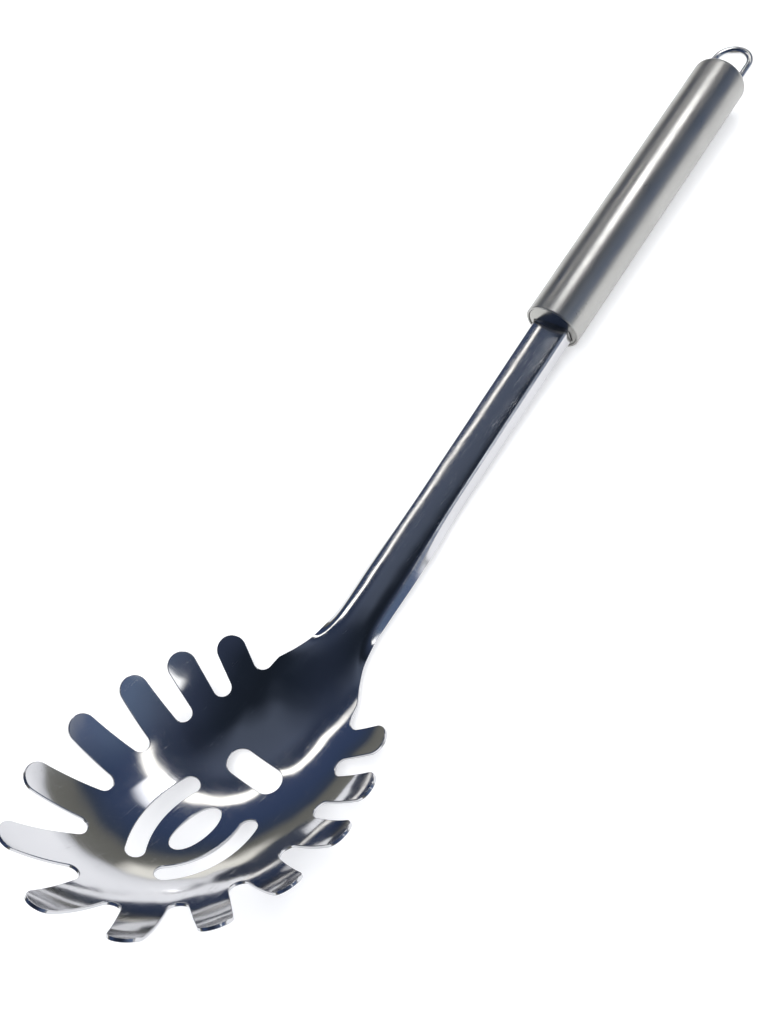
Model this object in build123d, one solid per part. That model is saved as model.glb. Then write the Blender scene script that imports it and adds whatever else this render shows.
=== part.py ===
from build123d import *
import math
import os
import numpy as np

# Stainless steel pasta server, in millimetres.
# The model is drawn along its handle and then laid on the table as it rests there.
# While it is drawn, x = 0 is the front end of the handle tube, +x runs to the hanging
# loop, -x to the bowl, +z is the open side of the bowl, and y = 0 is its mirror plane.

# Handle tube
handle_diameter = 18.0
handle_length = 108.0
tube_wall = 0.8
tube_lip_radius = 0.35

# Sheet of the head, and its shank between the handle and the bowl
sheet = 1.0
tang_length = 14.0
crown_height = 2.55
neck_start = 87.9
shank_half_blank = 11.1
crown_half = 4.1
crown_radius = 18.0
shoulder_length = 4.05
wall_angle = 77.5

# Bowl: length of its middle line, half of its width along the bend, and its curvature
bowl_length = 145.0
head_half = 45.0
bowl_radius = 52.0
neck_radius = 16.5

# Tines, notches and drain slots
tine_width = 8.3
notch_radius = 2.55
neck_notch_radius = 2.8
bridge_slot_length = 17.9
bridge_slot_width = 7.8
oval_length = 16.5
oval_width = 7.5
side_slot_width = 5.05
side_slot_bulge = 2.7

# End caps
front_cap_thickness = 3.0
front_cap_dome = 0.9
front_cap_inset = 0.3
rear_cap_thickness = 2.2
rear_cap_shoulder = 1.65
rear_spigot_length = 4.0

# Hanging loop
loop_wire = 2.4
loop_half_width = 5.85
loop_straight = 7.5
loop_embed = 5.0

# Clearances, and one overrun for every cut
press_gap = 0.05
shank_gap = 0.25
hole_gap = 0.1
overrun = 5.0
surface_tolerance = 0.01

# Slope of the middle line in degrees, at even steps from neck_start to the front tine's end
slope_degrees = (-1.4, -3.2, -8.0, -6.1, 4.7, 17.9, 29.8, 40.8, 52.8, 66.5, 80.7)

# Places as shares: (share of bowl_length from neck_start, share of head_half)
tip_shares = (
    (0.312, 0.603), (0.403, 0.793), (0.524, 0.907), (0.678, 0.901),
    (0.823, 0.754), (0.935, 0.460),
)
notch_shares = (
    (0.388, 0.513), (0.481, 0.599), (0.591, 0.640), (0.701, 0.574),
    (0.798, 0.417), (0.874, 0.166),
)
rim_shares = (
    (0.140, 0.194), (0.157, 0.1835), (0.175, 0.186), (0.194, 0.194), (0.225, 0.228),
    (0.257, 0.278), (0.275, 0.315),
)
blank_shares = (
    (0.000, 0.262), (0.040, 0.248), (0.083, 0.199), (0.120, 0.184), (0.157, 0.184),
    (0.185, 0.205), (0.210, 0.260), (0.245, 0.460), (0.280, 0.680), (0.320, 0.800),
    (0.403, 0.950), (0.524, 1.060), (0.678, 1.060), (0.823, 0.920), (0.935, 0.700),
    (1.000, 0.480), (1.020, 0.400),
)
neck_notch_shares = (0.296, 0.400)
bridge_slot_share = 0.4825
oval_share = 0.635
side_slot_shares = ((0.577, 0.240), (0.741, 0.121))

# Where the section changes, as shares of bowl_length from neck_start
section_blend_shares = (0.070, 0.381)
crown_spread_shares = (-0.055, 0.269)
crown_spread_share = 0.32
cross_curve_shares = (0.124, 0.360)
fine_shares = (-0.035, 0.345)

tube_radius = handle_diameter / 2
bore_radius = tube_radius - tube_wall
tube_length = handle_length - rear_cap_thickness
tip_radius = tine_width / 2
front_tip_share = 1 - tip_radius / bowl_length
tip_margin = sheet
reach = 3 * tip_radius
surface_rows = (10, 28, 20)
surface_columns = 29


def ease(x):
    """Smooth step from 0 to 1, flat at both ends."""
    x = np.clip(x, 0, 1)
    return x ** 3 * (10 - 15 * x + 6 * x ** 2)


def station(share):
    """Distance along the middle line from the tube's front end."""
    return neck_start + share * bowl_length


def place(shares):
    """Distance along the middle line, and distance across it along the bend."""
    return station(shares[0]), shares[1] * head_half


# The middle line: its slope is a cubic spline through slope_degrees, level at the shank end
class MiddleLine:
    steps = 600

    def __init__(self):
        slopes = np.radians(slope_degrees)
        count = len(slopes)
        matrix = np.zeros((count, count))
        turn = np.zeros(count)
        matrix[0, :2] = 2, 1
        turn[0] = 6 * (slopes[1] - slopes[0])
        for i in range(1, count - 1):
            matrix[i, i - 1:i + 2] = 1, 4, 1
            turn[i] = 6 * (slopes[i + 1] - 2 * slopes[i] + slopes[i - 1])
        matrix[-1, -1] = 1
        self.slopes = slopes
        self.bends = np.linalg.solve(matrix, turn)
        self.s = np.linspace(-tang_length, station(blank_shares[-1][0]) + tine_width, self.steps)
        self.psi = self.slope(self.s)
        step = np.diff(self.s)
        run = (np.cos(self.psi[1:]) + np.cos(self.psi[:-1])) / 2 * step
        rise = (np.sin(self.psi[1:]) + np.sin(self.psi[:-1])) / 2 * step
        self.x = -np.concatenate([[0], np.cumsum(run)])
        self.z = np.concatenate([[0], np.cumsum(rise)])
        self.x -= np.interp(0, self.s, self.x)
        self.z += crown_height - np.interp(0, self.s, self.z)

    def slope(self, s):
        last = len(self.slopes) - 1
        x = np.clip((np.asarray(s) - neck_start) / bowl_length * last, 0, None)
        i = np.minimum(x.astype(int), last - 1)
        f = x - i
        straight = self.slopes[i] * (1 - f) + self.slopes[i + 1] * f
        bend = self.bends[i] * (2 - f) + self.bends[i + 1] * (1 + f)
        return straight - f * (1 - f) * bend / 6


line = MiddleLine()


def section_angle(s, u):
    """Angle of the sheet across the middle line: down at the shank's walls, up in the bowl."""
    share = (s - neck_start) / bowl_length
    first, last = section_blend_shares
    bowl_part = ease((share - first) / (last - first))
    first, last = crown_spread_shares
    spread = ease((share - first) / (last - first))
    flat = crown_half + (crown_spread_share * head_half - crown_half) * spread
    crown = -np.minimum(u, flat) / crown_radius
    shoulder = -math.radians(wall_angle) * ease((u - flat) / shoulder_length)
    first, last = cross_curve_shares
    neck_part = 1 - ease((share - first) / (last - first))
    curve = 1 / bowl_radius + (1 / neck_radius - 1 / bowl_radius) * neck_part
    return (1 - bowl_part) * (crown + shoulder) + bowl_part * curve * u


def top_points(s, u, slices=48):
    """Points on the sheet's upper side."""
    s, u = np.broadcast_arrays(np.asarray(s, float), np.asarray(u, float))
    side, across = np.sign(u), np.abs(u)
    mids = (np.arange(slices) + 0.5) / slices
    angle = section_angle(s[..., None], across[..., None] * mids)
    out = np.cos(angle).mean(-1) * across
    up = np.sin(angle).mean(-1) * across
    psi, x, z = (np.interp(s, line.s, v) for v in (line.psi, line.x, line.z))
    return np.stack([x + np.sin(psi) * up, side * out, z + np.cos(psi) * up], -1)


def tangents_and_normal(s, u):
    """Unit normal towards the bowl's open side, and the two surface tangents."""
    h = bowl_length / 1000
    along = (top_points(s + h, u) - top_points(s - h, u)) / (2 * h)
    across = (top_points(s, u + h) - top_points(s, u - h)) / (2 * h)
    normal = np.cross(across, along)
    normal /= np.linalg.norm(normal, axis=-1, keepdims=True)
    return along, across, normal


def blank_half(s):
    """Half of the sheet's width along the bend, before the tines are cut."""
    shares = np.array(blank_shares)
    stations = station(shares[:, 0])
    halves = shares[:, 1] * head_half
    stations = np.concatenate([[-tang_length, neck_start / 2], stations])
    halves = np.concatenate([[shank_half_blank, shank_half_blank], halves])
    return smooth_table(s, stations, halves)


def smooth_table(x, knots, values):
    """Monotone cubic curve through a table."""
    steps = np.diff(knots)
    rates = np.diff(values) / steps
    slopes = np.zeros(len(values))
    for i in range(1, len(values) - 1):
        if rates[i - 1] * rates[i] > 0:
            w1 = 2 * steps[i] + steps[i - 1]
            w2 = steps[i] + 2 * steps[i - 1]
            slopes[i] = (w1 + w2) / (w1 / rates[i - 1] + w2 / rates[i])
    slopes[-1] = rates[-1]
    x = np.asarray(x, float)
    i = np.clip(np.searchsorted(knots, x) - 1, 0, len(steps) - 1)
    f = (x - knots[i]) / steps[i]
    h00 = (1 + 2 * f) * (1 - f) ** 2
    h10 = f * (1 - f) ** 2
    h01 = f ** 2 * (3 - 2 * f)
    h11 = f ** 2 * (f - 1)
    rise = h10 * slopes[i] + h11 * slopes[i + 1]
    return h00 * values[i] + h01 * values[i + 1] + rise * steps[i]


# Cutters are prisms square to the sheet, drawn on the plane that touches it at their place
class Patch:
    def __init__(self, s, u, outward):
        self.origin = top_points(s, u)
        self.normal = tangents_and_normal(s, u)[2]
        across = outward - self.normal * (outward @ self.normal)
        self.ex = across / np.linalg.norm(across)
        self.ey = np.cross(self.normal, self.ex)
        self.plane = Plane(origin=tuple(self.origin), x_dir=tuple(self.ex), z_dir=tuple(self.normal))

    def flat(self, point):
        """A point of space seen on this plane."""
        away = np.asarray(point) - self.origin
        return np.array([away @ self.ex, away @ self.ey])

    def prism(self, outline):
        """The outline is a sketch face on this plane, cut through the sheet both ways."""
        return extrude(self.plane * outline, amount=overrun + sheet, both=True)


def tangent_points(centre, radius, other, other_radius, side):
    """Ends of the straight line that touches two circles and passes between them."""
    away = other - centre
    turn = math.acos((radius + other_radius) / np.linalg.norm(away))
    angle = math.atan2(away[1], away[0]) + side * turn
    ray = np.array([math.cos(angle), math.sin(angle)])
    return centre + radius * ray, other - other_radius * ray


def beyond(start, end, length):
    """The point where a straight edge leaves the blank."""
    way = (end - start) / np.linalg.norm(end - start)
    return end + way * length


def notch_cutter(notch, left_tip, right_tip):
    """Gap between two tines: a round bottom with straight sides out past both tips."""
    middle = (top_points(*left_tip) + top_points(*right_tip)) / 2
    patch = Patch(*notch, middle - top_points(*notch))
    ends = []
    for tip, other in ((left_tip, right_tip), (right_tip, left_tip)):
        centre = patch.flat(top_points(*tip))
        side = 1 if centre[1] > patch.flat(top_points(*other))[1] else -1
        near, far = tangent_points(np.zeros(2), notch_radius, centre, tip_radius, side)
        ends.append((near, beyond(near, far, reach)))
    (near_left, out_left), (near_right, out_right) = ends
    bottom = (-notch_radius, 0)
    outline = make_face([
        Line(tuple(out_left), tuple(near_left)),
        ThreePointArc(tuple(near_left), bottom, tuple(near_right)),
        Line(tuple(near_right), tuple(out_right)),
        Line(tuple(out_right), tuple(out_left)),
    ])
    return patch.prism(outline)


def tip_cutter(tip, root):
    """What lies beyond the round end of one tine."""
    patch = Patch(*tip, top_points(*tip) - root)
    block = Pos(reach / 2, 0) * Rectangle(reach, tine_width + tip_margin)
    return patch.prism(block - Circle(tip_radius))


def neck_cutter():
    """The neck's flared rim, the round notch at its end and the first tine's near side."""
    centre, first_tip = place(neck_notch_shares), place(tip_shares[0])
    patch = Patch(*centre, top_points(*first_tip) - top_points(*centre))
    rim = [patch.flat(top_points(*place(shares))) for shares in rim_shares]
    tip = patch.flat(top_points(*first_tip))
    side = 1 if rim[0][1] > tip[1] else -1
    middle = np.zeros(2)
    into, _rim_end = tangent_points(middle, neck_notch_radius, rim[-1], 0, side)
    leave, far = tangent_points(middle, neck_notch_radius, tip, tip_radius, -side)
    out = beyond(leave, far, reach)
    bottom = (into + leave) * neck_notch_radius / np.linalg.norm(into + leave)
    corner = (out[0], rim[0][1])
    outline = make_face([
        Spline(*[tuple(point) for point in rim]),
        Line(tuple(rim[-1]), tuple(into)),
        ThreePointArc(tuple(into), tuple(bottom), tuple(leave)),
        Line(tuple(leave), tuple(out)),
        Line(tuple(out), corner),
        Line(corner, tuple(rim[0])),
    ])
    return patch.prism(outline)


def slot_cutter(shares, outline):
    """A slot in the bowl's floor, drawn with x across the bowl and y towards the tip."""
    return Patch(*place(shares), np.array([0, 1, 0])).prism(outline)


def side_slot_cutter():
    """The curved slot at one side of the bowl: a round-ended cut along an arc."""
    near, far = (np.array(place(shares)) for shares in side_slot_shares)
    middle = (near + far) / 2
    patch = Patch(*middle, np.array([0, 1, 0]))
    ends = [patch.flat(top_points(*end)) for end in (near, far)]
    away = ends[1] - ends[0]
    square = np.array([away[1], -away[0]]) / np.linalg.norm(away)
    if square[0] < 0:
        square = -square
    top = (ends[0] + ends[1]) / 2 + square * side_slot_bulge
    path = ThreePointArc(tuple(ends[0]), tuple(top), tuple(ends[1]))
    return patch.prism(SlotArc(path, side_slot_width))


def mirrored(solid):
    return solid.mirror(Plane.XZ)


def head_blank():
    """The sheet's upper side before the cuts, as one smooth face."""
    end = station(blank_shares[-1][0])
    rows = np.concatenate([
        np.linspace(-tang_length, station(fine_shares[0]), surface_rows[0])[:-1],
        np.linspace(station(fine_shares[0]), station(fine_shares[1]), surface_rows[1])[:-1],
        np.linspace(station(fine_shares[1]), end, surface_rows[2]),
    ])
    columns = np.linspace(-1, 1, surface_columns)
    grid = top_points(rows[:, None], columns * blank_half(rows)[:, None])
    points = [[tuple(point) for point in row] for row in grid]
    return Face.make_surface_from_array_of_points(points, tol=surface_tolerance, max_deg=5)


def head_cutters():
    """Everything that is stamped out of the sheet."""
    front_tip = (station(front_tip_share), 0)
    tips = [place(shares) for shares in tip_shares]
    notches = [place(shares) for shares in notch_shares]
    outer = tips + [front_tip]
    cuts = [notch_cutter(n, a, b) for n, a, b in zip(notches, outer, outer[1:])]
    roots = [place(neck_notch_shares)] + notches
    for tip, first, second in zip(tips, roots, notches):
        cuts.append(tip_cutter(tip, (top_points(*first) + top_points(*second)) / 2))
    cuts += [neck_cutter(), side_slot_cutter()]
    cuts += [mirrored(cut) for cut in cuts]
    cuts.append(tip_cutter(front_tip, top_points(*notches[-1]) * (1, 0, 1)))
    bridge = SlotOverall(bridge_slot_length, bridge_slot_width)
    cuts.append(slot_cutter((bridge_slot_share, 0), bridge))
    cuts.append(slot_cutter((oval_share, 0), Ellipse(oval_width / 2, oval_length / 2)))
    return cuts


def server_head():
    """One pressed sheet: tines, bowl, channel shank and the tang inside the handle."""
    cut = head_blank() - head_cutters()
    upper = cut.faces().sort_by(SortBy.AREA)[-1]
    return Solid.thicken(upper, sheet)


def section_outline(s, outer, inner, foot, count=41):
    """Outline of the channel's sheet across the handle, widened by clearances."""
    half = float(blank_half(s))
    u = np.linspace(-half, half, count)
    surface = top_points(s + 0 * u, u)
    normal = tangents_and_normal(s + 0 * u, u)[2]
    upper = surface + outer * normal
    lower = surface - (sheet + inner) * normal
    rows = []
    for row in (upper, lower):
        start = (row[0] - row[1]) / np.linalg.norm(row[0] - row[1])
        end = (row[-1] - row[-2]) / np.linalg.norm(row[-1] - row[-2])
        rows.append([row[0] + start * foot, *row, row[-1] + end * foot])
    upper, lower = ([(point[1], point[2]) for point in row] for row in rows)
    return make_face([
        Spline(*upper),
        Line(upper[-1], lower[-1]),
        Spline(*lower[::-1]),
        Line(lower[0], upper[0]),
    ])


def turned(edges):
    """A profile of x against radius, turned about the handle's axis."""
    return revolve(make_face(edges), Axis.X)


def handle_tube():
    """Thin tube, open at both ends, with a rounded lip at the front."""
    profile = Pos(tube_length / 2, bore_radius + tube_wall / 2) * Rectangle(tube_length, tube_wall)
    front = profile.vertices().group_by(Axis.X)[0]
    profile = fillet(front.sort_by(Axis.Y)[-1], tube_lip_radius)
    return revolve(profile, Axis.X)


def front_end_cap():
    """Plug in the tube's front end, slightly domed, with an opening for the shank."""
    radius = bore_radius - press_gap
    back = front_cap_inset + front_cap_thickness
    tip = front_cap_inset - front_cap_dome
    middle_radius = radius / 2
    sphere = (radius ** 2 + front_cap_dome ** 2) / (2 * front_cap_dome)
    middle = tip + sphere - math.sqrt(sphere ** 2 - middle_radius ** 2)
    cap = turned([
        Line((tip, 0), (back, 0)),
        Line((back, 0), (back, radius)),
        Line((back, radius), (front_cap_inset, radius)),
        ThreePointArc((front_cap_inset, radius), (middle, middle_radius), (tip, 0)),
    ])
    opening = section_outline(0.0, shank_gap, shank_gap, shank_gap)
    start = Plane(origin=(tip - overrun, 0, 0), x_dir=(0, 1, 0), z_dir=(1, 0, 0))
    return cap - extrude(start * opening, amount=back - tip + 2 * overrun, dir=(1, 0, 0))


def loop_leg_holes():
    radius = loop_wire / 2 + hole_gap
    length = rear_cap_thickness + rear_spigot_length + 2 * overrun
    holes = []
    for side in (-1, 1):
        hole = Rot(0, 90, 0) * Cylinder(radius, length)
        holes.append(Pos(tube_length, side * loop_half_width) * hole)
    return holes


def rear_end_cap():
    """Cap on the tube's far end, as wide as the tube, with a spigot inside it."""
    spigot = bore_radius - press_gap
    edge = handle_length - rear_cap_shoulder
    inner = tube_radius - rear_cap_shoulder
    turn = rear_cap_shoulder * math.sqrt(0.5)
    cap = turned([
        Line((tube_length - rear_spigot_length, 0), (tube_length - rear_spigot_length, spigot)),
        Line((tube_length - rear_spigot_length, spigot), (tube_length, spigot)),
        Line((tube_length, spigot), (tube_length, tube_radius)),
        Line((tube_length, tube_radius), (edge, tube_radius)),
        ThreePointArc((edge, tube_radius), (edge + turn, inner + turn), (handle_length, inner)),
        Line((handle_length, inner), (handle_length, 0)),
        Line((handle_length, 0), (tube_length - rear_spigot_length, 0)),
    ])
    return cap - loop_leg_holes()


def hanging_loop():
    """Bent wire: two straight legs through the rear cap and a half circle between them."""
    start = handle_length - loop_embed
    bend = handle_length + loop_straight
    half = loop_half_width
    path = (
        Line((start, half), (bend, half))
        + ThreePointArc((bend, half), (bend + half, 0), (bend, -half))
        + Line((bend, -half), (start, -half))
    )
    section = Plane(origin=(start, half, 0), z_dir=(1, 0, 0)) * Circle(loop_wire / 2)
    return sweep(section, path)


def resting_tilt():
    """Degrees of tilt that lay the tool on its bowl and on the tube's front lip."""
    s = np.linspace(neck_start, station(1), 400)
    floor = top_points(s, 0 * s) - sheet * tangents_and_normal(s, 0 * s)[2]
    tilt = np.arctan2(floor[:, 2] + tube_radius, -floor[:, 0]).min()
    return math.degrees(tilt)


pieces = {
    "server_head": server_head(),
    "handle_tube": handle_tube(),
    "front_end_cap": front_end_cap(),
    "rear_end_cap": rear_end_cap(),
    "hanging_loop": hanging_loop(),
}
tilted = {name: Rot(0, -resting_tilt(), 0) * piece for name, piece in pieces.items()}
boxes = [piece.bounding_box() for piece in tilted.values()]
low_x, high_x = min(box.min.X for box in boxes), max(box.max.X for box in boxes)
low_z = min(box.min.Z for box in boxes)
resting = Pos(-(low_x + high_x) / 2, 0, -low_z)

os.makedirs("parts", exist_ok=True)
for name, piece in tilted.items():
    export_step(resting * piece, f"parts/{name}.step")
print("tilt", resting_tilt(), "shift", -(low_x + high_x) / 2, -low_z)
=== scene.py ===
import math

import bpy
import numpy as np
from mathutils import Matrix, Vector
from mathutils.geometry import delaunay_2d_cdt


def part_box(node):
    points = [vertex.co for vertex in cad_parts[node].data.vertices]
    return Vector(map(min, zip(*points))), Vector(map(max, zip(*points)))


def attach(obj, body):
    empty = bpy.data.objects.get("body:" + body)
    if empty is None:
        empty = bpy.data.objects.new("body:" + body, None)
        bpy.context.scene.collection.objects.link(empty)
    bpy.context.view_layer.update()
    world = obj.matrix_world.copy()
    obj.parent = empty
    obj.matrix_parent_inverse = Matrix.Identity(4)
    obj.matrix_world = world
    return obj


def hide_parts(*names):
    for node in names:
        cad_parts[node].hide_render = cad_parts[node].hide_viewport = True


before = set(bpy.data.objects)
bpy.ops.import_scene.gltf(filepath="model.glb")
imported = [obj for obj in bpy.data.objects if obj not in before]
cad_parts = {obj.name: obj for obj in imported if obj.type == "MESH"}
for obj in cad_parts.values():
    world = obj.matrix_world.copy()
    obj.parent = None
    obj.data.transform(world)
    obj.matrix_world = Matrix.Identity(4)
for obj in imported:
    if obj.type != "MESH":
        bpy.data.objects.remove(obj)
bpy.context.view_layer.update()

MM = 0.001

# ---------------------------------------------------------------- sizes, in millimetres

# Handle
TUBE_RADIUS = 9.0
TUBE_WALL = 0.8
TUBE_LENGTH = 105.8
HANDLE_LENGTH = 108.0
LIP_RADIUS = 0.35

# Sheet and shank. Only TANG_SHOWN of the tang is drawn, hidden behind the front cap.
SHEET = 1.0
EDGE_RADIUS = 0.22
TANG_SHOWN = 9.0
TANG_LENGTH = 14.0
CROWN_HEIGHT = 2.55
NECK_START = 87.9
SHANK_HALF = 11.1
CROWN_HALF = 4.1
CROWN_RADIUS = 18.0
SHOULDER_LENGTH = 4.05
WALL_ANGLE = math.radians(77.5)
NECK_WALL_ANGLE = math.radians(36)

# Bowl, tines and slots
BOWL_LENGTH = 145.0
HEAD_HALF = 45.0
BOWL_RADIUS = 52.0
NECK_RADIUS = 16.5
TIP_RADIUS = 4.15
NOTCH_RADIUS = 2.55
NECK_NOTCH_RADIUS = 2.8
BRIDGE_LENGTH = 17.9
BRIDGE_WIDTH = 7.8
OVAL_LENGTH = 16.5
OVAL_WIDTH = 7.5
OVAL_POWER = 2.15
SIDE_SLOT_WIDTH = 5.05
SIDE_SLOT_BULGE = 2.7

# Slope of the middle line in degrees, at even steps from NECK_START to the front tine's end
SLOPE_DEGREES = (-1.4, -3.2, -8.0, -6.1, 4.7, 17.9, 29.8, 40.8, 52.8, 66.5, 80.7)

# Places as shares: (share of BOWL_LENGTH from NECK_START, share of HEAD_HALF)
TIP_SHARES = (
    (0.312, 0.603), (0.403, 0.793), (0.524, 0.907), (0.678, 0.901),
    (0.823, 0.754), (0.935, 0.460), (1 - TIP_RADIUS / BOWL_LENGTH, 0.0),
)
NOTCH_SHARES = (
    (0.388, 0.513), (0.481, 0.599), (0.591, 0.640), (0.701, 0.574),
    (0.798, 0.417), (0.874, 0.166),
)
RIM_SHARES = (
    (-0.200, 0.247), (-0.150, 0.243), (-0.100, 0.226), (-0.050, 0.213), (0.000, 0.208),
    (0.060, 0.204), (0.120, 0.198), (0.150, 0.193), (0.180, 0.199), (0.210, 0.216),
    (0.240, 0.258), (0.257, 0.290), (0.275, 0.325),
)
NECK_NOTCH_SHARES = (0.296, 0.400)
BRIDGE_SHARE = 0.4825
OVAL_SHARE = 0.635
SIDE_SLOT_SHARES = ((0.577, 0.240), (0.741, 0.121))

# Where the section changes, as shares of BOWL_LENGTH from NECK_START
SECTION_BLEND_SHARES = (0.070, 0.381)
WALL_OPEN_SHARES = (-0.20, 0.05)
WALL_END_SHARES = (0.10, 0.27)
CROWN_SPREAD_SHARES = (0.12, 0.45)
CROWN_SPREAD_SHARE = 0.32
CROSS_CURVE_SHARES = (0.124, 0.360)

# How finely the sheet is measured and its outline is drawn
LINE_STEPS = 1200
LINE_END_SHARE = 1.08
SLICES = 48
TANGENT_STEP = 0.15
PLACING_ROUNDS = 8
ARC_PITCH = 0.35
STRAIGHT_PITCH = 0.45
CURVE_PITCH = 0.5
OVAL_POINTS = 96
BRIDGE_SIDE_POINTS = 24
OUTLINE_LEAST = 0.12


# ---------------------------------------------------------------- the pressed sheet

def ease(x):
    """Smooth step from 0 to 1, flat at both ends."""
    x = np.clip(x, 0, 1)
    return x ** 3 * (10 - 15 * x + 6 * x ** 2)


def station(share):
    """Distance along the middle line from the tube's front end."""
    return NECK_START + share * BOWL_LENGTH


def place(shares):
    """Distance along the middle line, and distance across it along the bend."""
    return np.array([station(shares[0]), shares[1] * HEAD_HALF])


def unit(v):
    return v / np.linalg.norm(v, axis=-1, keepdims=True)


class MiddleLine:
    """The sheet's middle line: its slope is a cubic spline through SLOPE_DEGREES."""

    def __init__(self):
        slopes = np.radians(SLOPE_DEGREES)
        count = len(slopes)
        matrix = np.zeros((count, count))
        turn = np.zeros(count)
        matrix[0, :2] = 2, 1
        turn[0] = 6 * (slopes[1] - slopes[0])
        for i in range(1, count - 1):
            matrix[i, i - 1:i + 2] = 1, 4, 1
            turn[i] = 6 * (slopes[i + 1] - 2 * slopes[i] + slopes[i - 1])
        matrix[-1, -1] = 1
        self.slopes = slopes
        self.bends = np.linalg.solve(matrix, turn)
        self.s = np.linspace(-TANG_LENGTH, station(LINE_END_SHARE), LINE_STEPS)
        self.psi = self.slope(self.s)
        step = np.diff(self.s)
        run = (np.cos(self.psi[1:]) + np.cos(self.psi[:-1])) / 2 * step
        rise = (np.sin(self.psi[1:]) + np.sin(self.psi[:-1])) / 2 * step
        self.x = -np.concatenate([[0], np.cumsum(run)])
        self.z = np.concatenate([[0], np.cumsum(rise)])
        self.x -= np.interp(0, self.s, self.x)
        self.z += CROWN_HEIGHT - np.interp(0, self.s, self.z)

    def slope(self, s):
        last = len(self.slopes) - 1
        x = np.clip((np.asarray(s) - NECK_START) / BOWL_LENGTH * last, 0, None)
        i = np.minimum(x.astype(int), last - 1)
        f = x - i
        straight = self.slopes[i] * (1 - f) + self.slopes[i + 1] * f
        bend = self.bends[i] * (2 - f) + self.bends[i + 1] * (1 + f)
        return straight - f * (1 - f) * bend / 6


line = MiddleLine()


def wall_slope(share):
    """Slope of the shank's walls: steep along the shank, opening towards the neck."""
    first, last = WALL_OPEN_SHARES
    opened = ease((share - first) / (last - first))
    first, last = WALL_END_SHARES
    ended = ease((share - first) / (last - first))
    return WALL_ANGLE - (WALL_ANGLE - NECK_WALL_ANGLE) * opened - NECK_WALL_ANGLE * ended


def section_angle(s, u):
    """Angle of the sheet across the middle line: down at the shank's walls, up in the bowl."""
    share = (s - NECK_START) / BOWL_LENGTH
    first, last = SECTION_BLEND_SHARES
    bowl_part = ease((share - first) / (last - first))
    first, last = CROWN_SPREAD_SHARES
    spread = ease((share - first) / (last - first))
    flat = CROWN_HALF + (CROWN_SPREAD_SHARE * HEAD_HALF - CROWN_HALF) * spread
    crown = -np.minimum(u, flat) / CROWN_RADIUS
    shoulder = -wall_slope(share) * ease((u - flat) / SHOULDER_LENGTH)
    first, last = CROSS_CURVE_SHARES
    neck_part = 1 - ease((share - first) / (last - first))
    curve = 1 / BOWL_RADIUS + (1 / NECK_RADIUS - 1 / BOWL_RADIUS) * neck_part
    return (1 - bowl_part) * crown + shoulder + bowl_part * curve * u


def top_points(s, u):
    """Points on the sheet's upper side."""
    s, u = np.broadcast_arrays(np.asarray(s, float), np.asarray(u, float))
    side, across = np.sign(u), np.abs(u)
    mids = (np.arange(SLICES) + 0.5) / SLICES
    angle = section_angle(s[..., None], across[..., None] * mids)
    out = np.cos(angle).mean(-1) * across
    up = np.sin(angle).mean(-1) * across
    psi, x, z = (np.interp(s, line.s, v) for v in (line.psi, line.x, line.z))
    return np.stack([x + np.sin(psi) * up, side * out, z + np.cos(psi) * up], -1)


def tangents_and_normal(s, u):
    """The two surface tangents, and the unit normal towards the bowl's open side."""
    h = TANGENT_STEP
    along = (top_points(s + h, u) - top_points(s - h, u)) / (2 * h)
    across = (top_points(s, u + h) - top_points(s, u - h)) / (2 * h)
    return along, across, unit(np.cross(across, along))


def located(points, s, u, way=None):
    """Surface places under points in space, seen along one way or along the normals."""
    points = np.asarray(points, float)
    s = np.broadcast_to(s, points.shape[:-1]).astype(float)
    u = np.broadcast_to(u, points.shape[:-1]).astype(float)
    for _ in range(PLACING_ROUNDS):
        along, across, normal = tangents_and_normal(s, u)
        ray = normal if way is None else np.broadcast_to(way, normal.shape)
        gap = points - top_points(s, u)
        step = np.linalg.solve(np.stack([along, across, -ray], -1), gap[..., None])[..., 0]
        s, u = s + step[..., 0], u + step[..., 1]
    return np.stack([s, u], -1)


class Patch:
    """The plane that touches the sheet at one place, with x towards a chosen direction."""

    def __init__(self, at, outward):
        self.at = at
        self.origin = top_points(*at)
        self.normal = tangents_and_normal(*at)[2]
        self.ex = unit(outward - self.normal * (outward @ self.normal))
        self.ey = np.cross(self.normal, self.ex)

    def flat(self, point):
        away = np.asarray(point) - self.origin
        return np.array([away @ self.ex, away @ self.ey])

    def on_sheet(self, flats):
        """Flat points of this plane, dropped square onto the sheet, as (s, u)."""
        flats = np.asarray(flats)
        points = self.origin + flats[..., :1] * self.ex + flats[..., 1:] * self.ey
        return located(points, *self.at, way=self.normal)


def tangent_angle(radius, other, other_radius, side):
    """Direction of the point where a line that passes between two circles leaves the first."""
    turn = math.acos((radius + other_radius) / np.linalg.norm(other))
    return math.atan2(other[1], other[0]) + side * turn


def arc(radius, start, end):
    count = max(int(abs(end - start) * radius / ARC_PITCH), 6)
    angles = np.linspace(start, end, count + 1)
    return radius * np.stack([np.cos(angles), np.sin(angles)], -1)


def straight(a, b):
    """Places between two places, straight as seen in space. The ends are left out."""
    p, q = top_points(*a), top_points(*b)
    count = max(int(np.linalg.norm(q - p) / STRAIGHT_PITCH), 2)
    f = np.linspace(0, 1, count + 1)[1:-1, None]
    guess = a + (b - a) * f
    return located(p + (q - p) * f, guess[:, 0], guess[:, 1])


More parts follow.
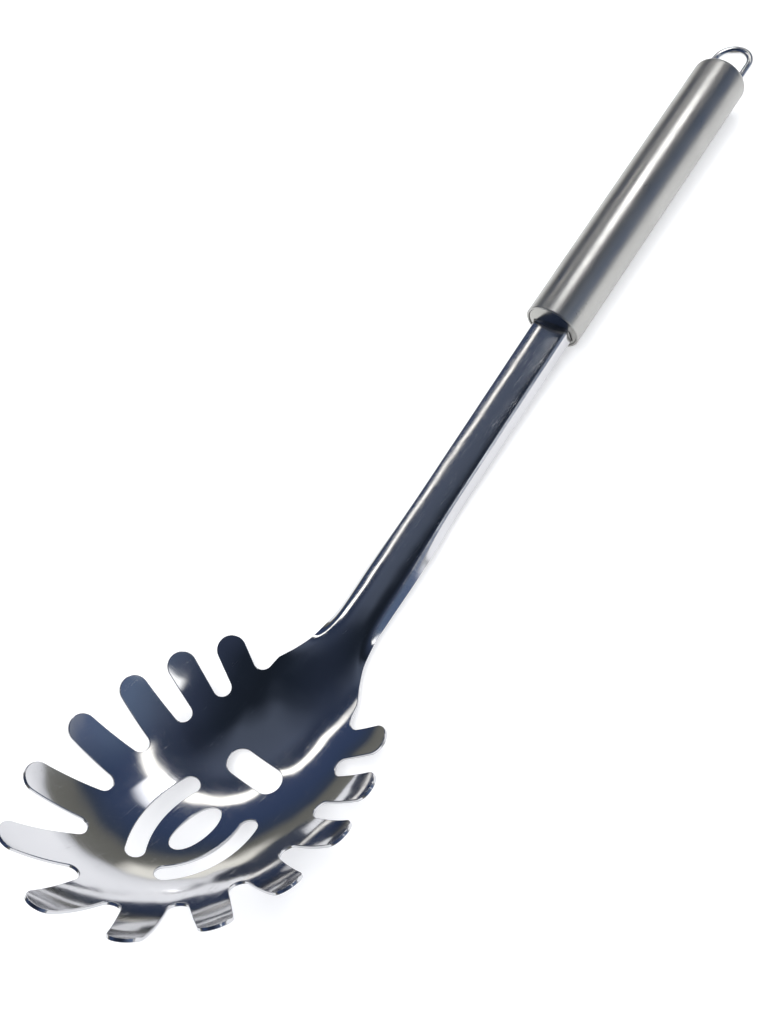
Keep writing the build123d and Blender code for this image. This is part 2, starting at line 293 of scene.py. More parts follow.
def through(points):
    """Smooth curve through flat points, by Catmull and Rom's rule."""
    points = np.asarray(points, float)
    padded = np.concatenate([[2 * points[0] - points[1]], points, [2 * points[-1] - points[-2]]])
    rows = []
    for i in range(len(points) - 1):
        a, b, c, d = padded[i:i + 4]
        count = max(int(np.linalg.norm(c - b) / CURVE_PITCH), 2)
        f = np.linspace(0, 1, count + 1)[:-1, None]
        rows.append(b + f * (c - a) / 2 + f ** 2 * (a - 2.5 * b + 2 * c - d / 2)
                    + f ** 3 * (1.5 * (b - c) + (d - a) / 2))
    return np.concatenate(rows + [points[-1:]])


def half_outline():
    """The left half of the head's outline as (s, u), from the tang to the front tine's end."""
    tips = [place(shares) for shares in TIP_SHARES]
    notches = [place(shares) for shares in NOTCH_SHARES]
    neck_notch = place(NECK_NOTCH_SHARES)
    rim = [np.array([-TANG_SHOWN, SHANK_HALF]), np.array([NECK_START / 2, SHANK_HALF])]
    rim += [place(shares) for shares in RIM_SHARES]
    rows = [through(rim)]

    patch = Patch(neck_notch, top_points(*tips[0]) - top_points(*neck_notch))
    rim_end, tip = (patch.flat(top_points(*at)) for at in (rim[-1], tips[0]))
    into = tangent_angle(NECK_NOTCH_RADIUS, rim_end, 0, -1)
    leave = tangent_angle(NECK_NOTCH_RADIUS, tip, TIP_RADIUS, 1)
    bottom = patch.on_sheet(arc(NECK_NOTCH_RADIUS, into, leave - 2 * math.pi))
    rows += [straight(rim[-1], bottom[0]), bottom]

    before = [neck_notch] + notches
    before_radii = [NECK_NOTCH_RADIUS] + [NOTCH_RADIUS] * len(notches)
    for i, tip in enumerate(tips):
        last = i == len(tips) - 1
        near = top_points(*before[i])
        far = near * (1, -1, 1) if last else top_points(*notches[i])
        patch = Patch(tip, top_points(*tip) - (near + far) / 2)
        start = tangent_angle(TIP_RADIUS, patch.flat(near), before_radii[i], 1)
        end = 0 if last else tangent_angle(TIP_RADIUS, patch.flat(far), NOTCH_RADIUS, -1)
        end = math.atan2(math.sin(end), math.cos(end))
        start = math.atan2(math.sin(start), math.cos(start))
        round_end = patch.on_sheet(arc(TIP_RADIUS, start, end))
        rows += [straight(rows[-1][-1], round_end[0]), round_end]
        if last:
            break
        notch, next_tip = notches[i], tips[i + 1]
        middle = (top_points(*tip) + top_points(*next_tip)) / 2
        patch = Patch(notch, middle - top_points(*notch))
        into = tangent_angle(NOTCH_RADIUS, patch.flat(top_points(*tip)), TIP_RADIUS, -1)
        leave = tangent_angle(NOTCH_RADIUS, patch.flat(top_points(*next_tip)), TIP_RADIUS, 1)
        bottom = patch.on_sheet(arc(NOTCH_RADIUS, into, leave - 2 * math.pi))
        rows += [straight(round_end[-1], bottom[0]), bottom]
    return np.concatenate(rows)


def mirrored(loop):
    return (loop * (1, -1))[::-1]


def slot_loops():
    """The drain slots as closed loops of (s, u)."""
    across = np.array([0.0, 1.0, 0.0])
    half = BRIDGE_WIDTH / 2
    reach = BRIDGE_LENGTH / 2 - half
    right = arc(half, -math.pi / 2, math.pi / 2) + (reach, 0)
    left = arc(half, math.pi / 2, 3 * math.pi / 2) - (reach, 0)
    sides = np.linspace(1, -1, BRIDGE_SIDE_POINTS)[1:-1, None] * (reach, 0)
    stadium = np.concatenate([right, sides + (0, half), left, -sides - (0, half)])
    loops = [Patch(place((BRIDGE_SHARE, 0)), across).on_sheet(stadium)]

    turn = np.linspace(0, 2 * math.pi, OVAL_POINTS + 1)[:-1]
    power = 2 / OVAL_POWER
    oval = np.stack([
        OVAL_WIDTH / 2 * np.sign(np.cos(turn)) * np.abs(np.cos(turn)) ** power,
        OVAL_LENGTH / 2 * np.sign(np.sin(turn)) * np.abs(np.sin(turn)) ** power,
    ], -1)
    loops.append(Patch(place((OVAL_SHARE, 0)), across).on_sheet(oval))

    near, far = (place(shares) for shares in SIDE_SLOT_SHARES)
    patch = Patch((near + far) / 2, across)
    a, b = (patch.flat(top_points(*end)) for end in (near, far))
    square = unit(np.array([b[1] - a[1], a[0] - b[0]]))
    square = square if square[0] > 0 else -square
    chord = np.linalg.norm(b - a)
    radius = (chord ** 2 / 4 + SIDE_SLOT_BULGE ** 2) / (2 * SIDE_SLOT_BULGE)
    centre = (a + b) / 2 + square * (SIDE_SLOT_BULGE - radius)
    first, last = (math.atan2(*(p - centre)[::-1]) for p in (a, b))
    half = SIDE_SLOT_WIDTH / 2
    sign = 1 if last > first else -1
    crescent = np.concatenate([
        centre + arc(radius + half, first, last),
        (b + arc(half, last, last + sign * math.pi))[1:-1],
        centre + arc(radius - half, last, first),
        (a + arc(half, first + sign * math.pi, first + sign * 2 * math.pi))[1:-1],
    ])
    crescent = patch.on_sheet(crescent)
    return loops + [crescent, mirrored(crescent)]


def signed_area(loop):
    ahead = np.roll(loop, -1, 0)
    return float((loop[:, 0] * ahead[:, 1] - ahead[:, 0] * loop[:, 1]).sum() / 2)


def evened(loop, least=OUTLINE_LEAST):
    """The loop without points that lie nearly on the one before."""
    gap = np.linalg.norm(loop - np.roll(loop, 1, 0), axis=1)
    return loop[gap > least]


def head_loops():
    """All the outlines, with the steel on their left: the outer one first, then the slots."""
    half = half_outline()
    outer = evened(np.concatenate([half, mirrored(half)]))
    loops = [outer if signed_area(outer) > 0 else outer[::-1]]
    for loop in slot_loops():
        loop = evened(loop)
        loops.append(loop if signed_area(loop) < 0 else loop[::-1])
    return loops


def inside(points, loops):
    """Even-odd test of (s, u) points against all loops."""
    result = np.zeros(len(points), bool)
    x, y = points[:, 0], points[:, 1]
    for loop in loops:
        for a, b in zip(loop, np.roll(loop, -1, 0)):
            if a[1] == b[1]:
                continue
            crossed = (a[1] > y) != (b[1] > y)
            result ^= crossed & (x < (b[0] - a[0]) * (y - a[1]) / (b[1] - a[1]) + a[0])
    return result


# ---------------------------------------------------------------- caps, loop, room and camera

REAR_SHOULDER = 1.65
REAR_SPIGOT = 4.0
SEAM = 0.04
INNER_LIP = 0.2
PRESS_GAP = 0.05
SHANK_GAP = 0.25
CAP_DOME = 0.9
CAP_INSET = 0.3
CAP_THICKNESS = 3.0
CAP_EDGE = 0.15
LOOP_WIRE = 2.4
LOOP_HALF_WIDTH = 5.85
LOOP_STRAIGHT = 7.5
LOOP_EMBED = 5.0

# How finely the meshes are drawn: steps in millimetres, counts, and turns in degrees
GRID_SHARES = (0.06, 0.40)
SHANK_STEP = 1.5
SHANK_ACROSS = ((0.4, 3.6, 0.8), (3.6, 9.2, 0.3))
SHANK_OUTER = (9.8, 10.4)
NECK_STEP = 0.7
BOWL_STEP = 1.1
GRID_CLEAR = 0.45
EDGE_TURNS = (22.5, 45, 67.5, 90)
TURN_SEGMENTS = 256
CAP_SEGMENTS = 240
CAP_REACH = 9
CAP_STEP = 0.5
CAP_CLEAR = 0.25
CAP_LEAST = 0.05
CAP_EDGE_TURNS = (30, 60, 90)
SECTION_POINTS = 121
WIRE_SEGMENTS = 40
WIRE_BENDS = 64

CAMERA_PLACE = (-0.1166, -0.145, 0.2672)
CAMERA_TURN = (30.38, 16.81, -54.28)
LENS = 37.816
SENSOR_WIDTH = 36.0
CLIP = (0.01, 50.0)

# Name, place, where it looks, size and power of each soft lamp, its spread in degrees,
# and whether it shows in the metal
LAMPS = (
    ("lamp_over", (0.05, 0.1, 1.0), (0, 0, 0), 1.2, 10.5, 180.0, False),
    ("lamp_side", (-0.5, -0.5, 0.8), (0, 0, 0), 0.9, 4.5, 180.0, False),
    ("lamp_handle", (0.25, 0.02, 0.27), (0.08, 0, 0.01), 0.1, 0.03, 60.0, True),
)

FLOOR_SIZE = 4.0
FLOOR_GAP = 0.0002
FLOOR_COLOUR = (0.8, 0.8, 0.8, 1)
FLOOR_GLOW = 0.42

# The room's light by height above the horizon in degrees, on most sides and on the near side
DOME_STOPS = (
    (-90, (0.9, 0.9, 0.88)), (-3, (0.45, 0.45, 0.43)), (0, (0.24, 0.24, 0.215)),
    (9, (0.20, 0.20, 0.18)), (14, (0.055, 0.075, 0.12)), (22, (0.05, 0.078, 0.16)),
    (34, (0.06, 0.09, 0.185)), (46, (0.036, 0.052, 0.098)), (58, (0.026, 0.036, 0.062)),
    (72, (0.018, 0.026, 0.042)), (90, (0.015, 0.021, 0.032)),
)
SIDE_STOPS = (
    (-90, (0.9, 0.9, 0.88)), (-3, (0.8, 0.8, 0.78)), (3, (0.5, 0.52, 0.54)),
    (13, (0.14, 0.19, 0.33)), (27, (0.15, 0.21, 0.33)), (45, (0.09, 0.115, 0.18)),
    (58, (0.045, 0.06, 0.105)), (75, (0.020, 0.028, 0.045)), (90, (0.015, 0.021, 0.032)),
)
SIDE_BEARING = -75.0
SIDE_REACH = (25.0, 60.0)
LOW_WALL_BEARING = 45.0
LOW_WALL_REACH = (14.0, 22.0)
LOW_WALL_HEIGHT = 1.0
LOW_WALL_HALF = (2.0, 7.0)
LOW_WALL_COLOUR = (1.3, 1.27, 1.15)
# The ring of strip light: its height, and its rise of some degrees about one bearing
RING_HEIGHT = 38.5
RING_CREST = 62.0
RING_CREST_REACH = 14
RING_RISE = 4.5
RING_HALF = 2.3
RING_SOFT = 0.6
RING_BEARING = 32.0
RING_REACH = (56.0, 62.0)
RING_COLOUR = (2.9, 2.8, 2.5)
# Bearing, half width, foot and top of each panel in degrees, each with its soft edge
PANELS = (
    (-67.0, (3.0, 5.5), (38.0, 42.0), (47.0, 52.0), (2.0, 2.0, 1.9)),
    (-71.0, (1.5, 3.5), (2.0, 8.0), (38.0, 46.0), (1.3, 1.3, 1.25)),
    (50.0, (25.0, 60.0), (44.0, 56.0), (72.0, 86.0), (0.085, 0.10, 0.135)),
)

# Steel. The polish lines lie across the tool, turned by POLISH_TURN.
POLISH_TURN = 0.35
FINE_DETAIL = 3.0
NOISE_SPAN = (0.3, 0.7)
BROAD_GRAIN = (0.10, 0.10, 0.10)
BROAD_CONTRAST = (0.88, 1.14)
WAVE_GRAIN = (0.085, 0.07, 1)
WAVE_TURN = 0.3
SHANK_LINES = 0.1
# Turn and strength of each set of scratches
SCRATCHES = ((0.5, 1.0), (-0.9, 0.8), (1.9, 0.6))
SCRATCH_ROUGHNESS = 0.15
SCRATCH_GRAIN = (0.05, 1.3, 1)
SCRATCH_HALF = 0.008
SCRATCH_BEND = 0.1
GATE_GRAIN = (0.12, 0.35, 1)
GATE_SPAN = (0.58, 0.64)
GATE_SHIFT = (7, 3)

# Base colour, roughness, its unevenness, depth of the lines in metres, and their grain
POLISHED_LOOK = ((0.56, 0.56, 0.575), 0.085, 0.18, 0.0000012, (3.0, 0.16, 1.0))
# The front cap's base colour is darker and warmer than the polished steel's: painted shade on the
# cap's face.
CAP_PAINTED_SHADE_LOOK = ((0.36, 0.355, 0.335), 0.20, 0.1, 0.0000005, (1.0, 1.0, 1.0))
# The loop's base colour is lighter than the polished steel's: painted light on the wire.
WIRE_PAINTED_LIGHT_LOOK = ((0.68, 0.68, 0.68), 0.18, 0.1, 0.0000005, (1.0, 1.0, 1.0))
BRUSHED_LOOK = ((0.38, 0.375, 0.36), 0.34, 0.1, 0.0000005, (4.0, 0.6, 1.0))
POLISHED_WAVES = 0.00015
POLISHED_STRETCH = 0.3
BRUSHED_STRETCH = 0.4
# Where the polish turns from the shank's to the bowl's, and how much rougher the shank is
POLISH_BLEND_SHARES = (-0.15, 0.2)
SHANK_ROUGHER = 1.9


# ---------------------------------------------------------------- placing and mesh making

TILT = math.radians(1.606)


def to_part(points):
    """Tool millimetres to part millimetres, as the tool lies on the table."""
    points = np.asarray(points, float)
    c, s = math.cos(TILT), math.sin(TILT)
    x, y, z = points[..., 0], points[..., 1], points[..., 2]
    return np.stack([x * c - z * s, y, x * s + z * c], -1)


def resting_shift():
    """The CAD's own shift: its loop ends and its tube's lip lie where these do."""
    loop_end = to_part((HANDLE_LENGTH + LOOP_STRAIGHT + LOOP_HALF_WIDTH + LOOP_WIRE / 2, 0, 0))
    low_lip = to_part((LIP_RADIUS, 0, -TUBE_RADIUS))
    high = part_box("hanging_loop")[1]
    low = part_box("handle_tube")[0]
    return np.array([high[0] / MM - loop_end[0], 0, low[2] / MM - low_lip[2]])


def piece(name, points, faces, normals, uv, look, slot_name, *nodes):
    """A smooth mesh piece in metres that stands for CAD nodes."""
    mesh = bpy.data.meshes.new(name)
    mesh.from_pydata((to_part(points) + SHIFT) * MM, [], faces)
    mesh.polygons.foreach_set("use_smooth", [True] * len(mesh.polygons))
    layer = mesh.uv_layers.new(name="sheet")
    corners = np.empty(len(mesh.loops), np.int32)
    mesh.loops.foreach_get("vertex_index", corners)
    layer.data.foreach_set("uv", np.asarray(uv)[corners].ravel())
    mesh.update()
    mesh.normals_split_custom_set_from_vertices([tuple(n) for n in to_part(normals)])
    mesh.materials.append(look)
    obj = bpy.data.objects.new(name, mesh)
    bpy.context.scene.collection.objects.link(obj)
    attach(obj, "root")
    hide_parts(*nodes)


def strip_faces(rows, count, closed):
    """Quads between rows of vertex numbers, each row of the same count."""
    faces = []
    for a, b in zip(rows, rows[1:]):
        for i in range(count if closed else count - 1):
            j = (i + 1) % count
            faces.append((a[i], a[j], b[j], b[i]))
    return faces


def turned_profile(profile, normals, segments=TURN_SEGMENTS):
    """A profile of (x, radius) turned about the handle's axis, with its normals."""
    angles = np.arange(segments) * 2 * math.pi / segments
    c, s = np.cos(angles), np.sin(angles)
    points, outs, rows, uv = [], [], [], []
    run = np.concatenate([[0], np.cumsum(np.linalg.norm(np.diff(profile, axis=0), axis=1))])
    for (x, r), (nx, nr), length in zip(profile, normals, run):
        rows.append(list(range(len(points) * segments, (len(points) + 1) * segments)))
        points.append(np.stack([np.full(segments, x), r * c, r * s], -1))
        outs.append(np.stack([np.full(segments, nx), nr * c, nr * s], -1))
        uv.append(np.stack([np.full(segments, length), angles * TUBE_RADIUS], -1))
    faces = []
    for i, step in enumerate(np.diff(run)):
        if step > 1e-6:
            faces += strip_faces(rows[i:i + 2], segments, True)
    return np.concatenate(points), faces, np.concatenate(outs), np.concatenate(uv)


# ---------------------------------------------------------------- the head

def every_pair(rows, columns):
    """Every row value with every column value."""
    return np.stack(np.meshgrid(rows, columns, indexing="ij"), -1)


def head_grid():
    """Inner places of the sheet, closer together where it bends more tightly."""
    neck_start, bowl_start = (station(share) for share in GRID_SHARES)
    across = np.concatenate([*(np.arange(*rule) for rule in SHANK_ACROSS), SHANK_OUTER])
    shank = every_pair(np.arange(-TANG_SHOWN + 1, neck_start, SHANK_STEP),
                       np.concatenate([-across[::-1], across]))
    neck = every_pair(np.arange(neck_start, bowl_start, NECK_STEP),
                      np.arange(-HEAD_HALF, HEAD_HALF, NECK_STEP))
    bowl = every_pair(np.arange(bowl_start, station(1.0), BOWL_STEP),
                      np.arange(-HEAD_HALF, HEAD_HALF, BOWL_STEP))
    bowl[1::2, :, 1] += BOWL_STEP / 2
    return np.concatenate([grid.reshape(-1, 2) for grid in (shank, neck, bowl)])


def nearest_gap(points, others, block=500):
    """Distance from each point to the nearest of the others."""
    gaps = []
    for i in range(0, len(points), block):
        away = points[i:i + block, None] - others[None]
        gaps.append(np.sqrt((away ** 2).sum(-1).min(1)))
    return np.concatenate(gaps)


def outward(loop):
    """Unit directions in the sheet's plane, square to the outline, out of the steel."""
    along, across, normal = tangents_and_normal(loop[:, 0], loop[:, 1])
    points = top_points(loop[:, 0], loop[:, 1])
    run = unit(np.roll(points, -1, 0) - np.roll(points, 1, 0))
    turn = np.roll(loop, -1, 0) - np.roll(loop, 1, 0)
    rough = along * turn[:, 1:] - across * turn[:, :1]
    out = rough - run * (rough * run).sum(1)[:, None]
    out -= normal * (out * normal).sum(1)[:, None]
    return unit(out), along, across, normal


def facing(found, faces):
    """The triangles, all turned the same way round."""
    a, b, c = (found[faces[:, i]] for i in range(3))
    area = (b[:, 0] - a[:, 0]) * (c[:, 1] - a[:, 1]) - (c[:, 0] - a[:, 0]) * (b[:, 1] - a[:, 1])
    faces[area > 0] = faces[area > 0][:, ::-1]
    return faces


def head_mesh():
    """The sheet's two sides and its rounded edges, with normals and places for the polish."""
    loops = head_loops()
    inner, rims = [], []
    for loop in loops:
        out, along, across, normal = outward(loop)
        step = np.linalg.solve(
            np.stack([along, across, normal], -1), (-EDGE_RADIUS * out)[..., None])[..., 0]
        inner.append(loop + step[:, :2])
        rims.append(unit(out))
    edge = np.concatenate(inner)
    grid = head_grid()
    grid = grid[inside(grid, loops)]
    grid = grid[nearest_gap(grid, edge) > GRID_CLEAR]
    places = np.concatenate([edge, grid])
    constraints, first = [], 0
    for loop in inner:
        count = len(loop)
        constraints += [(first + i, first + (i + 1) % count) for i in range(count)]
        first += count
    found, _edges, faces, origins, _edge_ids, _face_ids = delaunay_2d_cdt(
        [Vector(p) for p in places], constraints, [], 0, 1e-5)
    found = np.array([tuple(v) for v in found])
    faces = np.array([tuple(f) for f in faces])
    faces = faces[inside(found[faces].mean(1), inner)]
    number = {}
    for new, olds in enumerate(origins):
        for old in olds:
            number[old] = new

    s, u = found[:, 0], found[:, 1]
    _along, _across, normal = tangents_and_normal(s, u)
    top = top_points(s, u)
    bottom = top - SHEET * normal
    count = len(found)
    faces = facing(found, faces)
    points, outs, uvs = [top, bottom], [normal, -normal], [found, found]
    polygons = [tuple(f) for f in faces] + [tuple(f[::-1] + count) for f in faces]

    first, start = 0, 2 * count
    turns = np.radians(EDGE_TURNS)
    for loop, rim in zip(inner, rims):
        size = len(loop)
        ids = np.array([number[first + i] for i in range(size)])
        n, p = normal[ids], top[ids]
        rows, low_rows = [list(ids)], [list(ids + count)]
        for low in (False, True):
            base = p - SHEET * n if low else p
            way = -n if low else n
            target = low_rows if low else rows
            for turn in turns:
                ring = base + EDGE_RADIUS * (math.sin(turn) * rim - (1 - math.cos(turn)) * way)
                points.append(ring)
                outs.append(unit(math.cos(turn) * way + math.sin(turn) * rim))
                uvs.append(found[ids])
                target.append(list(range(start, start + size)))
                start += size
        polygons += strip_faces(rows + low_rows[::-1], size, True)
        first += size
    return np.concatenate(points), polygons, np.concatenate(outs), np.concatenate(uvs)


# ---------------------------------------------------------------- handle, caps and loop

def fillet_points(centre, radius, start, end, count=8):
    """Points and normals round a small edge of a turned profile."""
    angles = np.radians(np.linspace(start, end, count + 1))
    ways = np.stack([np.cos(angles), np.sin(angles)], -1)
    return np.asarray(centre) + radius * ways, ways


def joined(*runs):
    """Profile runs of (points, normals), one after another."""
    return np.concatenate([r[0] for r in runs]), np.concatenate([r[1] for r in runs])


def run(a, b, normal, count=2):
    """Profile points from a to b, which share one normal."""
    f = np.linspace(0, 1, count)[:, None]
    points = np.asarray(a) + (np.asarray(b) - np.asarray(a)) * f
    return points, np.tile(np.asarray(normal, float), (count, 1))


def tube_profile():
    r, inner, lip = TUBE_RADIUS, TUBE_RADIUS - TUBE_WALL, LIP_RADIUS
    return joined(
        run((TUBE_LENGTH - REAR_SPIGOT, inner), (lip, inner), (0, -1), 6),
        fillet_points((INNER_LIP, inner + INNER_LIP), INNER_LIP, -90, -180),
        run((0, inner + INNER_LIP), (0, r - lip), (-1, 0)),
        fillet_points((lip, r - lip), lip, 180, 90),
        run((lip, r), (TUBE_LENGTH, r), (0, 1), 40),
    )


def rear_cap_profile():
    r, shoulder, seam = TUBE_RADIUS, REAR_SHOULDER, SEAM
    edge = HANDLE_LENGTH - shoulder
    return joined(
        run((TUBE_LENGTH + seam, r - seam), (TUBE_LENGTH + seam, r - seam), (-0.7, 0.7)),
        run((TUBE_LENGTH + 2 * seam, r), (edge, r), (0, 1), 4),
        fillet_points((edge, r - shoulder), shoulder, 90, 0, 16),
        run((HANDLE_LENGTH, r - shoulder), (HANDLE_LENGTH, 0.001), (1, 0), 8),
    )


def section_loop(gap):
    """The channel's section with a gap all round, as a closed loop of (y, z)."""
    u = np.linspace(-SHANK_HALF, SHANK_HALF, SECTION_POINTS)
    surface = top_points(0 * u, u)
    normal = tangents_and_normal(0 * u, u)[2]
    rows = []
    for away in (gap, -(SHEET + gap)):
        row = surface + away * normal
        start, end = unit(row[0] - row[1]), unit(row[-1] - row[-2])
        rows.append(np.concatenate([[row[0] + start * gap], row, [row[-1] + end * gap]]))
    return np.concatenate([rows[0], rows[1][::-1]])[:, 1:]


def front_cap_mesh():
    """Domed plug with an opening that follows the shank."""
    radius = TUBE_RADIUS - TUBE_WALL - PRESS_GAP
    sphere = (radius ** 2 + CAP_DOME ** 2) / (2 * CAP_DOME)
    tip = CAP_INSET - CAP_DOME
    hole = evened(section_loop(SHANK_GAP), CAP_LEAST)
    if signed_area(hole) > 0:
        hole = hole[::-1]
    turn = np.arange(CAP_SEGMENTS) * 2 * math.pi / CAP_SEGMENTS
    ring = (radius - CAP_EDGE) * np.stack([np.cos(turn), np.sin(turn)], -1)
    ahead = unit(np.roll(hole, -1, 0) - np.roll(hole, 1, 0))
    hole_out = np.stack([ahead[:, 1], -ahead[:, 0]], -1)
    lines = np.arange(-CAP_REACH, CAP_REACH, CAP_STEP)
    grid = np.stack(np.meshgrid(lines, lines), -1).reshape(-1, 2)
    rim_hole = hole - hole_out * CAP_EDGE
    grid = grid[inside(grid, [ring, rim_hole])]
    grid = grid[nearest_gap(grid, np.concatenate([ring, rim_hole])) > CAP_CLEAR]
    places = np.concatenate([ring, rim_hole, grid])
    sizes = (len(ring), len(rim_hole))
    constraints = [(i, (i + 1) % sizes[0]) for i in range(sizes[0])]
    constraints += [(sizes[0] + i, sizes[0] + (i + 1) % sizes[1]) for i in range(sizes[1])]
    found, _e, faces, origins, _ei, _fi = delaunay_2d_cdt(
        [Vector(p) for p in places], constraints, [], 0, 1e-6)
    found = np.array([tuple(v) for v in found])
    faces = np.array([tuple(f) for f in faces])
    faces = faces[inside(found[faces].mean(1), [ring, rim_hole])]
    number = {old: new for new, olds in enumerate(origins) for old in olds}
    square = (found ** 2).sum(1)
    x = tip + sphere - np.sqrt(sphere ** 2 - square)
    face_points = np.stack([x, found[:, 0], found[:, 1]], -1)
    face_normals = unit(face_points - np.array([tip + sphere, 0, 0]))
    points, outs = [face_points], [face_normals]
    polygons = [tuple(f) for f in facing(found, faces)]
    start, first = len(found), 0
    for loop, out in ((ring, unit(ring)), (rim_hole, hole_out)):
        size = len(loop)
        ids = np.array([number[first + i] for i in range(size)])
        base, way = face_points[ids], face_normals[ids]
        rim = np.concatenate([np.zeros((size, 1)), out], 1)
        rows = [list(ids)]
        for turn_angle in np.radians(CAP_EDGE_TURNS):
            points.append(base + CAP_EDGE * (
                math.sin(turn_angle) * rim - (1 - math.cos(turn_angle)) * way))
            outs.append(unit(math.cos(turn_angle) * way + math.sin(turn_angle) * rim))
            rows.append(list(range(start, start + size)))
            start += size
        back = points[-1].copy()
        back[:, 0] = CAP_INSET + CAP_THICKNESS
        points.append(back)
        outs.append(rim)
        rows.append(list(range(start, start + size)))
        start += size
        polygons += strip_faces(rows, size, True)
        first += size
    return np.concatenate(points), polygons, np.concatenate(outs)


def loop_mesh(segments=WIRE_SEGMENTS):
    """Bent wire: two legs and a half circle between them."""
    half, top = LOOP_HALF_WIDTH, HANDLE_LENGTH + LOOP_STRAIGHT
    start = HANDLE_LENGTH - LOOP_EMBED
    bends = np.linspace(0, math.pi, WIRE_BENDS + 1)
    path = [(start, half, 0), (HANDLE_LENGTH, half, 0)]
    path += [(top + half * math.sin(a), half * math.cos(a), 0) for a in bends]
    path += [(HANDLE_LENGTH, -half, 0), (start, -half, 0)]
    path = np.array(path)
    ways = unit(np.gradient(path, axis=0))
    side = np.cross(ways, [0, 0, 1])
    angles = np.arange(segments) * 2 * math.pi / segments
    rings, outs, rows = [], [], []
    for k, (p, d) in enumerate(zip(path, side)):
        out = np.outer(np.cos(angles), d) + np.outer(np.sin(angles), [0, 0, 1])
        rings.append(p + LOOP_WIRE / 2 * out)
        outs.append(out)
        rows.append(list(range(k * segments, (k + 1) * segments)))
    faces = [f[::-1] for f in strip_faces(rows, segments, True)]
    faces += [tuple(rows[0]), tuple(rows[-1][::-1])]
    return np.concatenate(rings), faces, np.concatenate(outs)


# ---------------------------------------------------------------- materials, room and camera

class Nodes:
    """Short calls that add shader nodes to one tree."""

    def __init__(self, tree):
        tree.nodes.clear()
        self.tree = tree

    def add(self, kind, values=(), **settings):
        """A node with its settings, and values or links for its inputs by name or number."""
        node = self.tree.nodes.new(kind)
        for key, value in settings.items():
            setattr(node, key, value)
        for key, value in dict(values).items():
            socket = node.inputs[key]
            if isinstance(value, bpy.types.NodeSocket):
                self.tree.links.new(value, socket)
            else:
                socket.default_value = value
        return node

    def math(self, operation, *values):
        return self.add("ShaderNodeMath", enumerate(values), operation=operation).outputs[0]

    def away(self, value, middle):
        """How far the value is from the middle."""
        return self.math("ABSOLUTE", self.math("SUBTRACT", value, middle))

    def smooth(self, value, low, high, start=0.0, end=1.0):
        """Smooth step from start to end as the value goes from low to high."""
        return self.add("ShaderNodeMapRange", {
            0: value, 1: low, 2: high, 3: start, 4: end,
        }, interpolation_type="SMOOTHSTEP").outputs[0]

    def ramp(self, value, stops):
        """Colours by height: stops are (degrees, colour), and the value is 0 to 1."""
        node = self.add("ShaderNodeValToRGB", {0: value})
        node.color_ramp.interpolation = "LINEAR"
        band = node.color_ramp.elements
        while len(band) < len(stops):
            band.new(0.5)
        for element, (degrees, colour) in zip(band, stops):
            element.position = (degrees + 90) / 180
            element.color = (*colour, 1)
        return node.outputs[0]

    def mix(self, share, a, b):
        """Colours mixed by a share from a to b."""
        return self.add("ShaderNodeMix", {0: share, 6: a, 7: b}, data_type="RGBA").outputs[2]

    def lit(self, sky, share, colour):
        """The sky with a share of a lamp's colour added."""
        glow = self.mix(share, (0, 0, 0, 1), (*colour, 1))
        return self.add("ShaderNodeMix", {0: 1.0, 6: sky, 7: glow},
                        data_type="RGBA", blend_type="ADD").outputs[2]


def steel(name, base, roughness, uneven, lines, grain, scratches=False, waves=0.0,
          stretch=0.0, along=None):
    """Stainless steel: lines of its polish across the tool, slow waves and a few scratches."""
    material = bpy.data.materials.new(name)
    material.use_nodes = True
    n = Nodes(material.node_tree)
    sheet = n.add("ShaderNodeUVMap", uv_map="sheet").outputs[0]

    def noise(scale, detail=2.0, turn=0.0, shift=(0, 0, 0), **more):
        spot = n.add("ShaderNodeMapping", {
            "Vector": sheet, "Location": shift, "Rotation": (0, 0, turn), "Scale": scale,
        }).outputs[0]
        return n.add("ShaderNodeTexNoise", {
            "Vector": spot, "Scale": 1.0, "Detail": detail, **more}).outputs[0]

    fine = noise(grain, FINE_DETAIL, POLISH_TURN)
    broad = noise(BROAD_GRAIN)
    rough = n.smooth(fine, *NOISE_SPAN, roughness * (1 - uneven), roughness * (1 + uneven))
    rough = n.math("MULTIPLY", rough, n.smooth(broad, *NOISE_SPAN, *BROAD_CONTRAST))
    if along:
        place = n.add("ShaderNodeSeparateXYZ", {0: sheet}).outputs[0]
        rough = n.math("MULTIPLY", rough, n.smooth(place, *along))
        lines = n.smooth(place, along[0], along[1], lines * SHANK_LINES, lines)
    for turn, amount in SCRATCHES if scratches else ():
        thin = noise(SCRATCH_GRAIN, 1.0, turn, Distortion=SCRATCH_BEND)
        cut = n.smooth(n.away(thin, 0.5), 0, SCRATCH_HALF, 1, 0)
        gate = noise(GATE_GRAIN, 0.0, turn, (GATE_SHIFT[0] * amount, GATE_SHIFT[1], 0))
        cut = n.math("MULTIPLY", cut, n.smooth(gate, *GATE_SPAN))
        rough = n.math("ADD", rough, n.math("MULTIPLY", cut, SCRATCH_ROUGHNESS * amount))
    bump = n.add("ShaderNodeBump", {"Height": fine, "Strength": 1.0, "Distance": lines})
    if waves:
        slow = n.add("ShaderNodeBump", {
            "Height": noise(WAVE_GRAIN, 1.0, WAVE_TURN), "Strength": 1.0, "Distance": waves})
        n.tree.links.new(slow.outputs[0], bump.inputs["Normal"])
    values = {
        "Base Color": (*base, 1), "Metallic": 1.0, "Roughness": rough,
        "Normal": bump.outputs[0], "Anisotropic": stretch,
    }
    if stretch:
        values["Tangent"] = n.add(
            "ShaderNodeTangent", direction_type="UV_MAP", uv_map="sheet").outputs[0]
    shader = n.add("ShaderNodeBsdfPrincipled", values)
    n.add("ShaderNodeOutputMaterial", {0: shader.outputs[0]})
    return material


